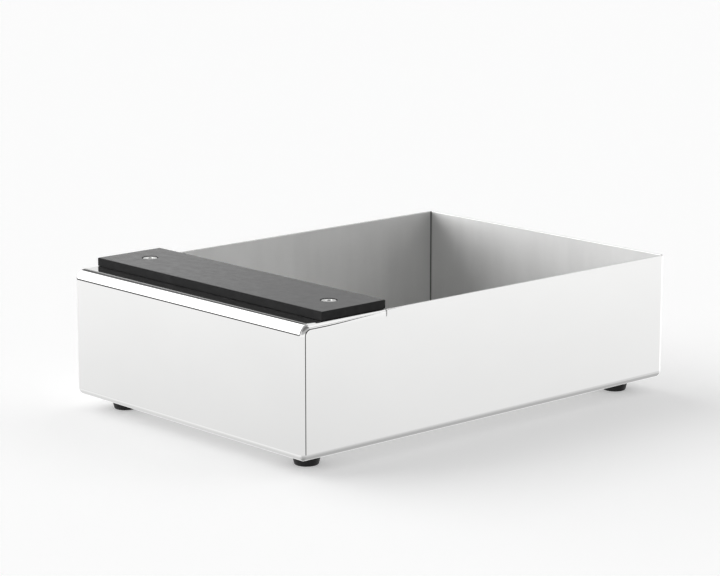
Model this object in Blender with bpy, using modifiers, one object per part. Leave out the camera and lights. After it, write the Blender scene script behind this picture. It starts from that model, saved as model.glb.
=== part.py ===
"""Espresso knock box: a folded steel bin, a rubber bar screwed to its front shelf, and four rubber feet."""

import math

import bmesh
import bpy

# Every length is in metres. X runs across the box, Y from its front to its back, and Z up.

# Folded steel box, measured outside
BODY_WIDTH = 0.200
BODY_DEPTH = 0.283
BODY_HEIGHT = 0.074
SHEET_THICKNESS = 0.0015
SHELF_DEPTH = 0.0598
CORNER_RADIUS = 0.003  # upright corners, and the side edges of the shelf
FRONT_BEND_RADIUS = 0.006  # fold from the front wall into the shelf
BOTTOM_BEND_RADIUS = 0.0042  # fold from the floor into the walls
RELIEF_WIDTH = 0.0008  # slit that frees the shelf from each side wall
RELIEF_RUNOUT = 0.0006  # depth of that slit below its bend
BEND_SEGMENTS = 8

# Knock bar
BAR_WIDTH = 0.0452
BAR_THICKNESS = 0.0046
BAR_END_MARGIN = 0.0019  # from each end of the bar to the side of the box
BAR_OVERHANG = 0.0007  # of the bar past the shelf's rear edge
BAR_EDGE_ROUNDING = 0.0004
BAR_EDGE_SEGMENTS = 2

# Countersunk screws, washers and locking nuts of the bar
BAR_SCREW_INSET = 0.022  # from the side of the box to the screw's axis
BAR_SCREW_DIAMETER = 0.005
BAR_SCREW_HEAD_DIAMETER = 0.0092
BAR_SCREW_HEAD_RIM = 0.0003  # upright edge round the head
BAR_SCREW_SINK = 0.0002  # depth of the head below the bar's face
BAR_SCREW_PROTRUSION = 0.0025  # length of thread past the nut
BAR_SCREW_KEY = 0.003  # across the flats of the socket
BAR_SCREW_KEY_DEPTH = 0.0018
BAR_WASHER_DIAMETER = 0.010
BAR_WASHER_THICKNESS = 0.001
BAR_NUT_KEY = 0.008
BAR_NUT_HEX_HEIGHT = 0.0036
BAR_NUT_COLLAR_DIAMETER = 0.0072
BAR_NUT_COLLAR_HEIGHT = 0.0014

# Rubber feet
FOOT_INSET = 0.020  # from two sides of the box to the foot's axis
FOOT_HEIGHT = 0.0075
FOOT_TOP_DIAMETER = 0.0165
FOOT_BASE_DIAMETER = 0.0136
FOOT_EDGE_RADIUS = 0.0008
FOOT_EDGE_SEGMENTS = 4

# Button-head screws, washers and dome nuts of the feet
FOOT_SCREW_DIAMETER = 0.003
FOOT_SCREW_HEAD_DIAMETER = 0.0057
FOOT_SCREW_HEAD_HEIGHT = 0.00165
FOOT_SCREW_HEAD_FLAT_DIAMETER = 0.0030  # flat top of the domed head
FOOT_SCREW_STANDOFF = 0.0010  # from the ground to the head
FOOT_SCREW_ENGAGEMENT = 0.0038  # length of thread in the dome nut
FOOT_SCREW_KEY = 0.002
FOOT_SCREW_KEY_DEPTH = 0.00104
FOOT_WASHER_DIAMETER = 0.007
FOOT_WASHER_THICKNESS = 0.0005
DOME_NUT_KEY = 0.0055
DOME_NUT_HEX_HEIGHT = 0.0026
DOME_NUT_DOME_DIAMETER = 0.0051
DOME_NUT_CROWN = 0.0014  # metal above the blind bore
DOME_SEGMENTS = 6

# Fits and edges that the fasteners share
SEAT_GAP = 0.0003  # between faces that rest on each other
HOLE_CLEARANCE = 0.0003  # round a shank, on the radius
THREAD_CHAMFER = 0.0005  # at the tip of a screw
NUT_TIP_CLEARANCE = 0.0008  # past the screw's tip in a dome nut
CUT_OVERRUN = 0.001  # how far a cutter reaches past the face that it cuts
ROUND_STEPS = 24

# Levels, from the ground up
BODY_BASE = FOOT_HEIGHT + SEAT_GAP
FLOOR_TOP = BODY_BASE + SHEET_THICKNESS
SHELF_TOP = BODY_BASE + BODY_HEIGHT
SHELF_UNDERSIDE = SHELF_TOP - SHEET_THICKNESS
BAR_BASE = SHELF_TOP + SEAT_GAP
BAR_TOP = BAR_BASE + BAR_THICKNESS

# Places along the depth
BODY_FRONT = -BODY_DEPTH / 2
SHELF_REAR = BODY_FRONT + SHELF_DEPTH
RELIEF_REAR = SHELF_REAR + RELIEF_WIDTH
RELIEF_FOOT = SHELF_TOP - CORNER_RADIUS - RELIEF_RUNOUT
BAR_MIDDLE = SHELF_REAR + BAR_OVERHANG - BAR_WIDTH / 2

# Finest distance and angle that still count as a step in the sheet
MERGE_DISTANCE = 0.00001
FLAT_ANGLE = math.radians(1)

STEEL_POLISHED = {"color": (0.80, 0.80, 0.79, 1), "metallic": 1.0, "roughness": 0.08}
STEEL_FASTENER = {"color": (0.66, 0.66, 0.65, 1), "metallic": 1.0, "roughness": 0.30}
RUBBER_BAR = {"color": (0.035, 0.035, 0.036, 1), "metallic": 0.0, "roughness": 0.48}
RUBBER_FOOT = {"color": (0.012, 0.012, 0.012, 1), "metallic": 0.0, "roughness": 0.62}


def clear_scene():
    for item in list(bpy.data.objects):
        bpy.data.objects.remove(item)


def new_collection(name):
    collection = bpy.data.collections.new(name)
    bpy.context.scene.collection.children.link(collection)
    return collection


def new_object(name, mesh, collection, parent, location=(0, 0, 0)):
    item = bpy.data.objects.new(name, mesh)
    collection.objects.link(item)
    item.parent = parent
    item.location = location
    return item


def new_anchor(name, collection, parent, location):
    """An empty that carries the pieces of one fastening."""
    return new_object(name, None, collection, parent, location)


def finish(item, look):
    """Give a piece its own material, and smooth its round faces."""
    material = bpy.data.materials.new(item.name)
    material.use_nodes = True
    shader = material.node_tree.nodes["Principled BSDF"]
    shader.inputs["Base Color"].default_value = look["color"]
    shader.inputs["Metallic"].default_value = look["metallic"]
    shader.inputs["Roughness"].default_value = look["roughness"]
    item.data.materials.append(material)
    return item


def mark_cutter(item):
    item.hide_render = True
    item.display_type = "WIRE"
    return item


def cut(item, cutter, operation="DIFFERENCE"):
    modifier = item.modifiers.new(cutter.name, "BOOLEAN")
    modifier.operation = operation
    modifier.solver = "EXACT"
    modifier.object = cutter


def mesh_from(shape, name):
    mesh = bpy.data.meshes.new(name)
    shape.to_mesh(mesh)
    shape.free()
    return mesh


def turned(name, profile, closed, collection, parent, location=(0, 0, 0)):
    """Turn a profile of (radius, height) points about Z. It runs down the outer side of the piece."""
    shape = bmesh.new()
    points = [shape.verts.new((radius, 0, height)) for radius, height in profile]
    for first, second in zip(points, points[1:]):
        shape.edges.new((first, second))
    if closed:
        shape.edges.new((points[-1], points[0]))
    item = new_object(name, mesh_from(shape, name), collection, parent, location)
    lathe = item.modifiers.new("lathe", "SCREW")
    lathe.steps = ROUND_STEPS
    lathe.render_steps = ROUND_STEPS
    lathe.use_merge_vertices = True
    lathe.merge_threshold = MERGE_DISTANCE
    lathe.use_smooth_shade = True
    return item


def arc(center, radius, start, end, segments):
    """Points of an arc in a profile, with its angles in degrees from the outward direction."""
    points = []
    for step in range(segments + 1):
        angle = math.radians(start + (end - start) * step / segments)
        points.append((center[0] + radius * math.cos(angle), center[1] + radius * math.sin(angle)))
    return points


def prism(name, across_flats, bottom, top, collection, parent):
    """A hexagonal prism, with its flats the given distance apart."""
    shape = bmesh.new()
    corner_radius = across_flats / math.sqrt(3)
    bmesh.ops.create_cone(
        shape, cap_ends=True, segments=6, radius1=corner_radius, radius2=corner_radius, depth=top - bottom
    )
    bmesh.ops.translate(shape, vec=(0, 0, (top + bottom) / 2), verts=shape.verts)
    return mark_cutter(new_object(name, mesh_from(shape, name), collection, parent))


def hole_cutter(name, radius, bottom, top, collection, parent):
    profile = [(0, top), (radius, top), (radius, bottom), (0, bottom)]
    return mark_cutter(turned(name, profile, False, collection, parent))


def bend_radius(edge):
    """Outer radius of the fold along an edge of the skin, or zero where the sheet stays flat."""
    if edge.is_boundary or edge.calc_face_angle() < FLAT_ANGLE:
        return 0
    start, end = (vertex.co for vertex in edge.verts)
    level = (start.z + end.z) / 2
    if level < BODY_BASE + MERGE_DISTANCE:
        return BOTTOM_BEND_RADIUS
    if level > SHELF_TOP - MERGE_DISTANCE and abs(start.x - end.x) > MERGE_DISTANCE:
        return FRONT_BEND_RADIUS
    return CORNER_RADIUS


def open_skin():
    """Outer face of the box before it is folded round: open on top, with the shelf and the relief slits."""
    skin = bmesh.new()
    bmesh.ops.create_cube(skin, size=1)
    bmesh.ops.scale(skin, vec=(BODY_WIDTH, BODY_DEPTH, BODY_HEIGHT), verts=skin.verts)
    bmesh.ops.translate(skin, vec=(0, 0, BODY_BASE + BODY_HEIGHT / 2), verts=skin.verts)
    for place in (SHELF_REAR, RELIEF_REAR):
        everything = skin.verts[:] + skin.edges[:] + skin.faces[:]
        bmesh.ops.bisect_plane(skin, geom=everything, plane_co=(0, place, 0), plane_no=(0, 1, 0))

    slit_sides = []
    for face in skin.faces:
        upright = abs(face.normal.x) > abs(face.normal.z)
        if upright and SHELF_REAR < face.calc_center_median().y < RELIEF_REAR:
            slit_sides += [face, *face.edges, *face.verts]
    bmesh.ops.bisect_plane(
        skin, geom=list(dict.fromkeys(slit_sides)), plane_co=(0, 0, RELIEF_FOOT), plane_no=(0, 0, 1)
    )

    removed = []
    for face in skin.faces:
        middle = face.calc_center_median()
        behind_shelf = face.normal.z > abs(face.normal.x) and middle.y > SHELF_REAR
        in_slit = middle.z > RELIEF_FOOT and SHELF_REAR < middle.y < RELIEF_REAR
        if behind_shelf or in_slit:
            removed.append(face)
    bmesh.ops.delete(skin, geom=removed, context="FACES")
    bmesh.ops.dissolve_limit(skin, angle_limit=FLAT_ANGLE, verts=skin.verts[:], edges=skin.edges[:])
    return skin


def build_box_shell(parts, root, holes):
    """The folded sheet: every bend gets its radius, and then the skin gets its thickness on the inside."""
    skin = open_skin()
    widest = max(CORNER_RADIUS, FRONT_BEND_RADIUS, BOTTOM_BEND_RADIUS)
    weights = skin.edges.layers.float.new("bevel_weight_edge")
    for edge in skin.edges:
        edge[weights] = bend_radius(edge) / widest
    shell = new_object("box_shell", mesh_from(skin, "box_shell"), parts, root)
    shell.data.shade_smooth()

    bends = shell.modifiers.new("bends", "BEVEL")
    bends.limit_method = "WEIGHT"
    bends.width = widest
    bends.segments = BEND_SEGMENTS
    bends.use_clamp_overlap = False
    thickness = shell.modifiers.new("sheet", "SOLIDIFY")
    thickness.thickness = SHEET_THICKNESS
    thickness.offset = -1
    thickness.use_even_offset = True
    for cutter in holes:
        cut(shell, cutter)
    shading = shell.modifiers.new("flat_walls", "WEIGHTED_NORMAL")
    shading.keep_sharp = True
    return finish(shell, STEEL_POLISHED)


def build_knock_bar(parts, root, countersinks):
    shape = bmesh.new()
    bmesh.ops.create_cube(shape, size=1)
    length = BODY_WIDTH - 2 * BAR_END_MARGIN
    bmesh.ops.scale(shape, vec=(length, BAR_WIDTH, BAR_THICKNESS), verts=shape.verts)
    place = (0, BAR_MIDDLE, BAR_BASE + BAR_THICKNESS / 2)
    bar = new_object("knock_bar", mesh_from(shape, "knock_bar"), parts, root, place)
    edges = bar.modifiers.new("edges", "BEVEL")
    edges.width = BAR_EDGE_ROUNDING
    edges.segments = BAR_EDGE_SEGMENTS
    for cutter in countersinks:
        cut(bar, cutter)
    return finish(bar, RUBBER_BAR)


def washer(name, diameter, bore, thickness, top, parts, parent):
    outer = diameter / 2
    profile = [(outer, top), (outer, top - thickness), (bore, top - thickness), (bore, top)]
    return finish(turned(name, profile, True, parts, parent), STEEL_FASTENER)


def bar_screw(side, parts, cutters, anchor):
    """Countersunk socket screw, from its head near the bar's face down past the nut."""
    head = BAR_SCREW_HEAD_DIAMETER / 2
    shank = BAR_SCREW_DIAMETER / 2
    top = BAR_TOP - BAR_SCREW_SINK
    cone_top = top - BAR_SCREW_HEAD_RIM
    cone_foot = cone_top - (head - shank)
    tip = SHELF_UNDERSIDE - BAR_WASHER_THICKNESS - BAR_NUT_HEX_HEIGHT - BAR_NUT_COLLAR_HEIGHT
    tip -= 2 * SEAT_GAP + BAR_SCREW_PROTRUSION
    profile = [
        (0, top),
        (head, top),
        (head, cone_top),
        (shank, cone_foot),
        (shank, tip + THREAD_CHAMFER),
        (shank - THREAD_CHAMFER, tip),
        (0, tip),
    ]
    screw = turned("bar_screw_" + side, profile, False, parts, anchor)
    key_end = top - BAR_SCREW_KEY_DEPTH
    socket = prism("bar_socket_" + side, BAR_SCREW_KEY, key_end, top + CUT_OVERRUN, cutters, anchor)
    cut(screw, socket)
    return finish(screw, STEEL_FASTENER)


def countersink(side, cutters, anchor):
    """Cutter for the bar's hole: the shape of the screw's head and shank, with clearance."""
    head = BAR_SCREW_HEAD_DIAMETER / 2 + HOLE_CLEARANCE
    shank = BAR_SCREW_DIAMETER / 2 + HOLE_CLEARANCE
    cone_top = BAR_TOP - BAR_SCREW_SINK - BAR_SCREW_HEAD_RIM - SEAT_GAP
    profile = [
        (0, BAR_TOP + CUT_OVERRUN),
        (head, BAR_TOP + CUT_OVERRUN),
        (head, cone_top),
        (shank, cone_top - (head - shank)),
        (shank, BAR_BASE - CUT_OVERRUN),
        (0, BAR_BASE - CUT_OVERRUN),
    ]
    return mark_cutter(turned("countersink_" + side, profile, False, cutters, anchor))


def bar_nut(side, parts, cutters, anchor):
    """Self-locking nut: a hexagon with a chamfered face, and the round collar of its insert below."""
    bore = BAR_SCREW_DIAMETER / 2 + HOLE_CLEARANCE
    flat = BAR_NUT_KEY / 2
    corner = BAR_NUT_KEY / math.sqrt(3)
    collar = BAR_NUT_COLLAR_DIAMETER / 2
    top = SHELF_UNDERSIDE - BAR_WASHER_THICKNESS - 2 * SEAT_GAP
    shoulder = top - BAR_NUT_HEX_HEIGHT
    foot = shoulder - BAR_NUT_COLLAR_HEIGHT
    slope = (corner - flat) / 2
    profile = [
        (flat, top),
        (corner, top - slope),
        (corner, shoulder + slope),
        (flat, shoulder),
        (collar, shoulder),
        (collar, foot + THREAD_CHAMFER),
        (collar - THREAD_CHAMFER, foot),
        (bore, foot),
        (bore, top),
    ]
    nut = turned("bar_nut_" + side, profile, True, parts, anchor)
    hexagon = prism(
        "bar_hexagon_" + side, BAR_NUT_KEY, foot - CUT_OVERRUN, top + CUT_OVERRUN, cutters, anchor
    )
    cut(nut, hexagon, "INTERSECT")
    return finish(nut, STEEL_FASTENER)


def build_bar_fastening(side, sign, parts, cutters, root):
    """Screw, washer and nut at one end of the bar, with the cutters for their holes."""
    place = (sign * (BODY_WIDTH / 2 - BAR_SCREW_INSET), BAR_MIDDLE, 0)
    anchor = new_anchor("bar_fastening_" + side, parts, root, place)
    bore = BAR_SCREW_DIAMETER / 2 + HOLE_CLEARANCE
    bar_screw(side, parts, cutters, anchor)
    top = SHELF_UNDERSIDE - SEAT_GAP
    washer("bar_washer_" + side, BAR_WASHER_DIAMETER, bore, BAR_WASHER_THICKNESS, top, parts, anchor)
    bar_nut(side, parts, cutters, anchor)
    shelf_hole = hole_cutter(
        "shelf_hole_" + side, bore, SHELF_UNDERSIDE - CUT_OVERRUN, SHELF_TOP + CUT_OVERRUN, cutters, anchor
    )
    return countersink(side, cutters, anchor), shelf_hole


def foot(corner, parts, anchor):
    """Tapered rubber foot, with a recess below for the screw's head and washer."""
    top_radius = FOOT_TOP_DIAMETER / 2
    base_radius = FOOT_BASE_DIAMETER / 2
    recess = FOOT_WASHER_DIAMETER / 2 + SEAT_GAP
    bore = FOOT_SCREW_DIAMETER / 2 + HOLE_CLEARANCE
    ledge = foot_ledge()
    top_edge = (top_radius - FOOT_EDGE_RADIUS, FOOT_HEIGHT - FOOT_EDGE_RADIUS)
    base_edge = (base_radius - FOOT_EDGE_RADIUS, FOOT_EDGE_RADIUS)
    profile = arc(top_edge, FOOT_EDGE_RADIUS, 90, 0, FOOT_EDGE_SEGMENTS)
    profile += arc(base_edge, FOOT_EDGE_RADIUS, 0, -90, FOOT_EDGE_SEGMENTS)
    profile += [(recess, 0), (recess, ledge), (bore, ledge), (bore, FOOT_HEIGHT)]
    return finish(turned("foot_" + corner, profile, True, parts, anchor), RUBBER_FOOT)


def foot_ledge():
    """Height of the face in the foot that the washer clamps."""
    return FOOT_SCREW_STANDOFF + FOOT_SCREW_HEAD_HEIGHT + FOOT_WASHER_THICKNESS + 2 * SEAT_GAP


def foot_screw(corner, parts, cutters, anchor):
    """Button-head socket screw, head down, from the foot's recess up into the dome nut."""
    head = FOOT_SCREW_HEAD_DIAMETER / 2
    head_flat = FOOT_SCREW_HEAD_FLAT_DIAMETER / 2
    shank = FOOT_SCREW_DIAMETER / 2
    face = FOOT_SCREW_STANDOFF
    seat = face + FOOT_SCREW_HEAD_HEIGHT
    tip = FLOOR_TOP + SEAT_GAP + FOOT_SCREW_ENGAGEMENT
    profile = [
        (0, tip),
        (shank - THREAD_CHAMFER, tip),
        (shank, tip - THREAD_CHAMFER),
        (shank, seat),
    ]
    for step in range(DOME_SEGMENTS + 1):
        angle = math.pi / 2 * step / DOME_SEGMENTS
        radius = head_flat + (head - head_flat) * math.cos(angle)
        profile.append((radius, seat - FOOT_SCREW_HEAD_HEIGHT * math.sin(angle)))
    profile.append((0, face))
    screw = turned("foot_screw_" + corner, profile, False, parts, anchor)
    key_end = face + FOOT_SCREW_KEY_DEPTH
    socket = prism("foot_socket_" + corner, FOOT_SCREW_KEY, face - CUT_OVERRUN, key_end, cutters, anchor)
    cut(screw, socket)
    return finish(screw, STEEL_FASTENER)


def dome_nut(corner, parts, cutters, anchor):
    """Closed nut on the floor of the box: a hexagon under a round dome, with a blind bore."""
    bore = FOOT_SCREW_DIAMETER / 2 + HOLE_CLEARANCE
    flat = DOME_NUT_KEY / 2
    corner_radius = DOME_NUT_KEY / math.sqrt(3)
    dome = DOME_NUT_DOME_DIAMETER / 2
    base = FLOOR_TOP + SEAT_GAP
    shoulder = base + DOME_NUT_HEX_HEIGHT
    bore_top = base + FOOT_SCREW_ENGAGEMENT + NUT_TIP_CLEARANCE
    crown = bore_top + DOME_NUT_CROWN
    slope = (corner_radius - flat) / 2
    profile = []
    for step in range(DOME_SEGMENTS + 1):
        angle = math.pi / 2 * step / DOME_SEGMENTS
        height = shoulder + (crown - shoulder) * math.cos(angle)
        profile.append((dome * math.sin(angle), height))
    profile += [
        (flat, shoulder),
        (corner_radius, shoulder - slope),
        (corner_radius, base + slope),
        (flat, base),
        (bore, base),
        (bore, bore_top - bore / 2),
        (0, bore_top),
    ]
    nut = turned("foot_nut_" + corner, profile, False, parts, anchor)
    hexagon = prism(
        "dome_hexagon_" + corner, DOME_NUT_KEY, base - CUT_OVERRUN, crown + CUT_OVERRUN, cutters, anchor
    )
    cut(nut, hexagon, "INTERSECT")
    return finish(nut, STEEL_FASTENER)


def build_foot_fastening(corner, side, end, parts, cutters, root):
    """Foot, washer, screw and dome nut at one corner, with the cutter for the hole in the floor."""
    place = (side * (BODY_WIDTH / 2 - FOOT_INSET), end * (BODY_DEPTH / 2 - FOOT_INSET), 0)
    anchor = new_anchor("foot_fastening_" + corner, parts, root, place)
    bore = FOOT_SCREW_DIAMETER / 2 + HOLE_CLEARANCE
    foot(corner, parts, anchor)
    top = foot_ledge() - SEAT_GAP
    washer("foot_washer_" + corner, FOOT_WASHER_DIAMETER, bore, FOOT_WASHER_THICKNESS, top, parts, anchor)
    foot_screw(corner, parts, cutters, anchor)
    dome_nut(corner, parts, cutters, anchor)
    return hole_cutter(
        "floor_hole_" + corner, bore, BODY_BASE - CUT_OVERRUN, FLOOR_TOP + CUT_OVERRUN, cutters, anchor
    )


def build_knock_box():
    clear_scene()
    parts = new_collection("espresso_knock_box")
    cutters = new_collection("cutters")
    root = new_anchor("knock_box", parts, None, (0, 0, 0))

    countersinks = []
    shell_holes = []
    for side, sign in (("left", -1), ("right", 1)):
        bar_hole, shelf_hole = build_bar_fastening(side, sign, parts, cutters, root)
        countersinks.append(bar_hole)
        shell_holes.append(shelf_hole)
    for end_name, end in (("front", -1), ("back", 1)):
        for side_name, side in (("left", -1), ("right", 1)):
            corner = end_name + "_" + side_name
            shell_holes.append(build_foot_fastening(corner, side, end, parts, cutters, root))
    build_box_shell(parts, root, shell_holes)
    build_knock_bar(parts, root, countersinks)


build_knock_box()
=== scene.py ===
import math
from types import SimpleNamespace

import bpy
import numpy as np
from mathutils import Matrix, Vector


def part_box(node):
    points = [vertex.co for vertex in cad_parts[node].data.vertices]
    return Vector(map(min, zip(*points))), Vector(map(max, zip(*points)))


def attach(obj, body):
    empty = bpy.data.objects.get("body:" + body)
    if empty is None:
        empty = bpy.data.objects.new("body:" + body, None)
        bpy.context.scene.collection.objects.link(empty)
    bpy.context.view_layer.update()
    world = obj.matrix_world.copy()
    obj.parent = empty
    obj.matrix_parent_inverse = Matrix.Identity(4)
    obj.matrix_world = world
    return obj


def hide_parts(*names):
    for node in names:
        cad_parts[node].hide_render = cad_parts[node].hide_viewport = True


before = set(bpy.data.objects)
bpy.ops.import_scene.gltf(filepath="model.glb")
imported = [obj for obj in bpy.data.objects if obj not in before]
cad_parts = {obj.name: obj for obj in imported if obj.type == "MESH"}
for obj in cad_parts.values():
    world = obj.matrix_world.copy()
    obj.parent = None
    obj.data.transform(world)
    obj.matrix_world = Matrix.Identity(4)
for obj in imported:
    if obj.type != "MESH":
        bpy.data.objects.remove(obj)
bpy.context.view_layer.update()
print("frame loaded:", len(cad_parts), "nodes")


# Surfaces. A patch is a grid of points; patches are welded where their edges meet.

weldSettings = {"step": 1e-6, "sharpAngle": 32}
near = 1e-7  # grid lines closer than this are one line


def makePatch(points, uv, material=0, normals=None):
    # rows by columns of points, with one uv for each, and the outward directions if they are known
    return {"points": points, "uv": uv, "material": material, "normals": normals}


def patchQuads(patch):
    # corners of every cell in order: they face outward when rows run from the top outwards and columns go
    # round leftwards, and are turned over where the patch's own outward directions say so
    rows, columns = patch["points"].shape[:2]
    index = np.arange(rows * columns).reshape(rows, columns)
    quads = np.stack([index[:-1, :-1], index[1:, :-1], index[1:, 1:], index[:-1, 1:]], axis=-1).reshape(-1, 4)
    if "keep" in patch:
        quads = quads[patch["keep"].ravel()]
    if patch["normals"] is not None:
        flat = patch["points"].reshape(-1, 3)
        facing = np.cross(flat[quads[:, 2]] - flat[quads[:, 0]], flat[quads[:, 3]] - flat[quads[:, 1]])
        wanted = patch["normals"].reshape(-1, 3)[quads].sum(axis=1)
        if (facing * wanted).sum() < 0:
            quads = quads[:, ::-1]
    return quads


def weldPatches(patches):
    # joins the patches into one set of points, and drops the corners that fall together
    points = np.concatenate([p["points"].reshape(-1, 3) for p in patches])
    uv = np.concatenate([p["uv"].reshape(-1, 2) for p in patches])
    normals = np.concatenate(
        [np.zeros_like(p["points"]).reshape(-1, 3) if p["normals"] is None else p["normals"].reshape(-1, 3)
         for p in patches]
    )
    quads, materials, start = [], [], 0
    for patch in patches:
        found = patchQuads(patch)
        quads.append(found + start)
        materials.append(np.full(len(found), patch["material"]))
        start += patch["points"].shape[0] * patch["points"].shape[1]
    quads = np.concatenate(quads)
    materials = np.concatenate(materials)
    keys = np.round(points / weldSettings["step"]).astype(np.int64)
    used = np.unique(quads)
    _, first, where = np.unique(keys[used], axis=0, return_index=True, return_inverse=True)
    first = used[first]
    place = np.zeros(len(points), np.int64)
    place[used] = where.ravel()
    corners = place[quads]
    same = corners == np.roll(corners, -1, axis=1)
    whole = same.sum(axis=1) == 0
    folded = same.sum(axis=1) == 1
    cornerOrder = (np.argmax(same[folded], axis=1)[:, None] + np.array([1, 2, 3])) % 4
    return {
        "points": points[first],
        "normals": normals[first],
        "quads": corners[whole],
        "triangles": np.take_along_axis(corners[folded], cornerOrder, axis=1),
        "quadUv": uv[quads[whole]],
        "triangleUv": uv[np.take_along_axis(quads[folded], cornerOrder, axis=1)],
        "materials": np.concatenate([materials[whole], materials[folded]]),
    }


def makePiece(name, nodes, welded, materials):
    # puts the welded surface into a mesh that stands for its CAD nodes
    mesh = bpy.data.meshes.new(name)
    mesh.from_pydata(welded["points"].tolist(), [], welded["quads"].tolist() + welded["triangles"].tolist())
    mesh.polygons.foreach_set("material_index", welded["materials"].astype(np.int32))
    uv = np.concatenate([welded["quadUv"].reshape(-1, 2), welded["triangleUv"].reshape(-1, 2)])
    layer = mesh.uv_layers.new(name="surface")
    layer.data.foreach_set("uv", uv.astype(np.float32).ravel())
    for material in materials:
        mesh.materials.append(material)
    mesh.shade_smooth()
    mesh.set_sharp_from_angle(angle=math.radians(weldSettings["sharpAngle"]))
    mesh.update()
    piece = bpy.data.objects.new(name, mesh)
    bpy.context.scene.collection.objects.link(piece)
    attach(piece, "root")
    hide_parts(*nodes)
    return piece


def lines(*parts):
    # every line of a grid in one direction, in order and without doubles
    values = np.sort(np.concatenate([np.atleast_1d(np.asarray(part, float)) for part in parts]))
    return values[np.concatenate([[True], np.diff(values) > near])]


def around(acrossShares, alongShares, cornerSteps):
    # once round a rounded rectangle, leftwards from its right side:
    # a column is (share of half width, share of half depth, outward x, outward y)
    turn = np.linspace(0, math.pi / 2, cornerSteps + 1)[:-1]

    def corner(u, v, start):
        place = [np.full_like(turn, u), np.full_like(turn, v)]
        return np.stack(place + [np.cos(start + turn), np.sin(start + turn)])

    def side(u, v, x, y):
        given = (np.asarray(value, float) for value in (u, v, x, y))
        return np.stack(np.broadcast_arrays(*given))[:, :-1]

    columns = np.concatenate([
        side(1, alongShares, 1, 0), corner(1, 1, 0),
        side(acrossShares[::-1], 1, 0, 1), corner(-1, 1, math.pi / 2),
        side(-1, alongShares[::-1], -1, 0), corner(-1, -1, math.pi),
        side(acrossShares, -1, 0, -1), corner(1, -1, 1.5 * math.pi),
    ], axis=1)
    return np.concatenate([columns, columns[:, :1]], axis=1)


def asRows(value):
    # one value for each row of a grid; a whole grid of values stays as it is
    return np.asarray(value, float).reshape(-1, 1) if np.ndim(value) < 2 else value


def ringPatch(columns, halfX, halfY, radius, height, tilt, middle=(0, 0), material=0):
    # rounded rectangles stacked up: point = middle + share x half size + radius x outward, at each height
    halfX, halfY, radius, height, tilt = map(asRows, (halfX, halfY, radius, height, tilt))
    u, v, x, y = columns[:, None, :]
    acrossX = middle[0] + u * halfX + radius * x
    alongY = middle[1] + v * halfY + radius * y
    points = np.stack(np.broadcast_arrays(acrossX, alongY, height), axis=-1)
    normals = np.stack([np.cos(tilt) * x, np.cos(tilt) * y, np.sin(tilt) + 0 * x], axis=-1)
    return makePatch(points, points[..., :2], material, normals)


def flatPatch(xs, ys, height, up, holes):
    # a flat grid, less the square round each hole, and a fan of cells from that square to the hole's edge
    x, y = np.meshgrid(xs, ys)
    points = np.stack([x, y, np.full_like(x, height)], axis=-1)
    normals = np.broadcast_to(np.array([0, 0, float(up)]), points.shape)
    sheet = makePatch(points, points[..., :2], 0, normals)
    sheet["keep"] = np.ones((len(ys) - 1, len(xs) - 1), bool)
    patches = [sheet]
    for hole in holes:
        left, right = (int(np.argmin(abs(xs - (hole["x"] + s * hole["square"])))) for s in (-1, 1))
        low, high = (int(np.argmin(abs(ys - (hole["y"] + s * hole["square"])))) for s in (-1, 1))
        sheet["keep"][low:high, left:right] = False
        edge = np.concatenate([
            points[low, left:right], points[low:high, right],
            points[high, right:left:-1], points[high:low:-1, left],
            points[low:low + 1, left],
        ])[:, :2]
        center = np.array([hole["x"], hole["y"]])
        turn = np.arctan2(edge[:, 1] - hole["y"], edge[:, 0] - hole["x"])
        rim = center + hole["radius"] * np.stack([np.cos(turn), np.sin(turn)], axis=-1)
        share = np.linspace(0, 1, hole["fan"] + 1)[:, None, None]
        fan = (1 - share) * edge + share * rim
        fan = np.concatenate([fan, np.full(fan.shape[:2] + (1,), height)], axis=-1)
        patches.append(makePatch(fan, fan[..., :2], 0, np.broadcast_to(normals[0, 0], fan.shape)))
        hole["turn"] = turn
    return patches


def holeLines(center, hole):
    # grid lines over the square round a hole
    return center + np.linspace(-hole["square"], hole["square"], hole["cells"] + 1)


# Turned pieces: rows of (radius, height) carried once round an axis, each one value or one for each angle

turnSettings = {"steps": 72, "edgeSteps": 4, "waveTop": 1.25, "waveSlope": 2.5}
wholeTurn = np.linspace(0, 2 * math.pi, turnSettings["steps"] + 1)


def turnedPatch(rows, center, material=0, turn=wholeTurn):
    # point = centre + (radius cos angle, radius sin angle, height); v is the length along the profile
    radius = np.stack([np.broadcast_to(np.asarray(r, float), turn.shape) for r, z in rows])
    height = np.stack([np.broadcast_to(np.asarray(z, float), turn.shape) for r, z in rows])
    x, y = center[0] + radius * np.cos(turn), center[1] + radius * np.sin(turn)
    points = np.stack([x, y, height], axis=-1)
    along = np.cumsum(np.concatenate([[0], np.hypot(np.diff(radius.mean(1)), np.diff(height.mean(1)))]))
    uv = np.stack(np.broadcast_arrays(turn[None, :] / (2 * math.pi), along[:, None]), axis=-1)
    return makePatch(points, uv, material)


def hexRadius(acrossFlats):
    # distance from the axis to a hexagon's side at each angle, with its corners at 30, 90 and 150 degrees
    return acrossFlats / 2 / np.cos((wholeTurn + math.pi / 6) % (math.pi / 3) - math.pi / 6)


def arcRows(center, radius, start, end, steps):
    # rows along an arc of the profile, with its angles in degrees from the outward direction
    angles = np.radians(np.linspace(start, end, steps + 1))
    return [(center[0] + radius * math.cos(a), center[1] + radius * math.sin(a)) for a in angles]


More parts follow.
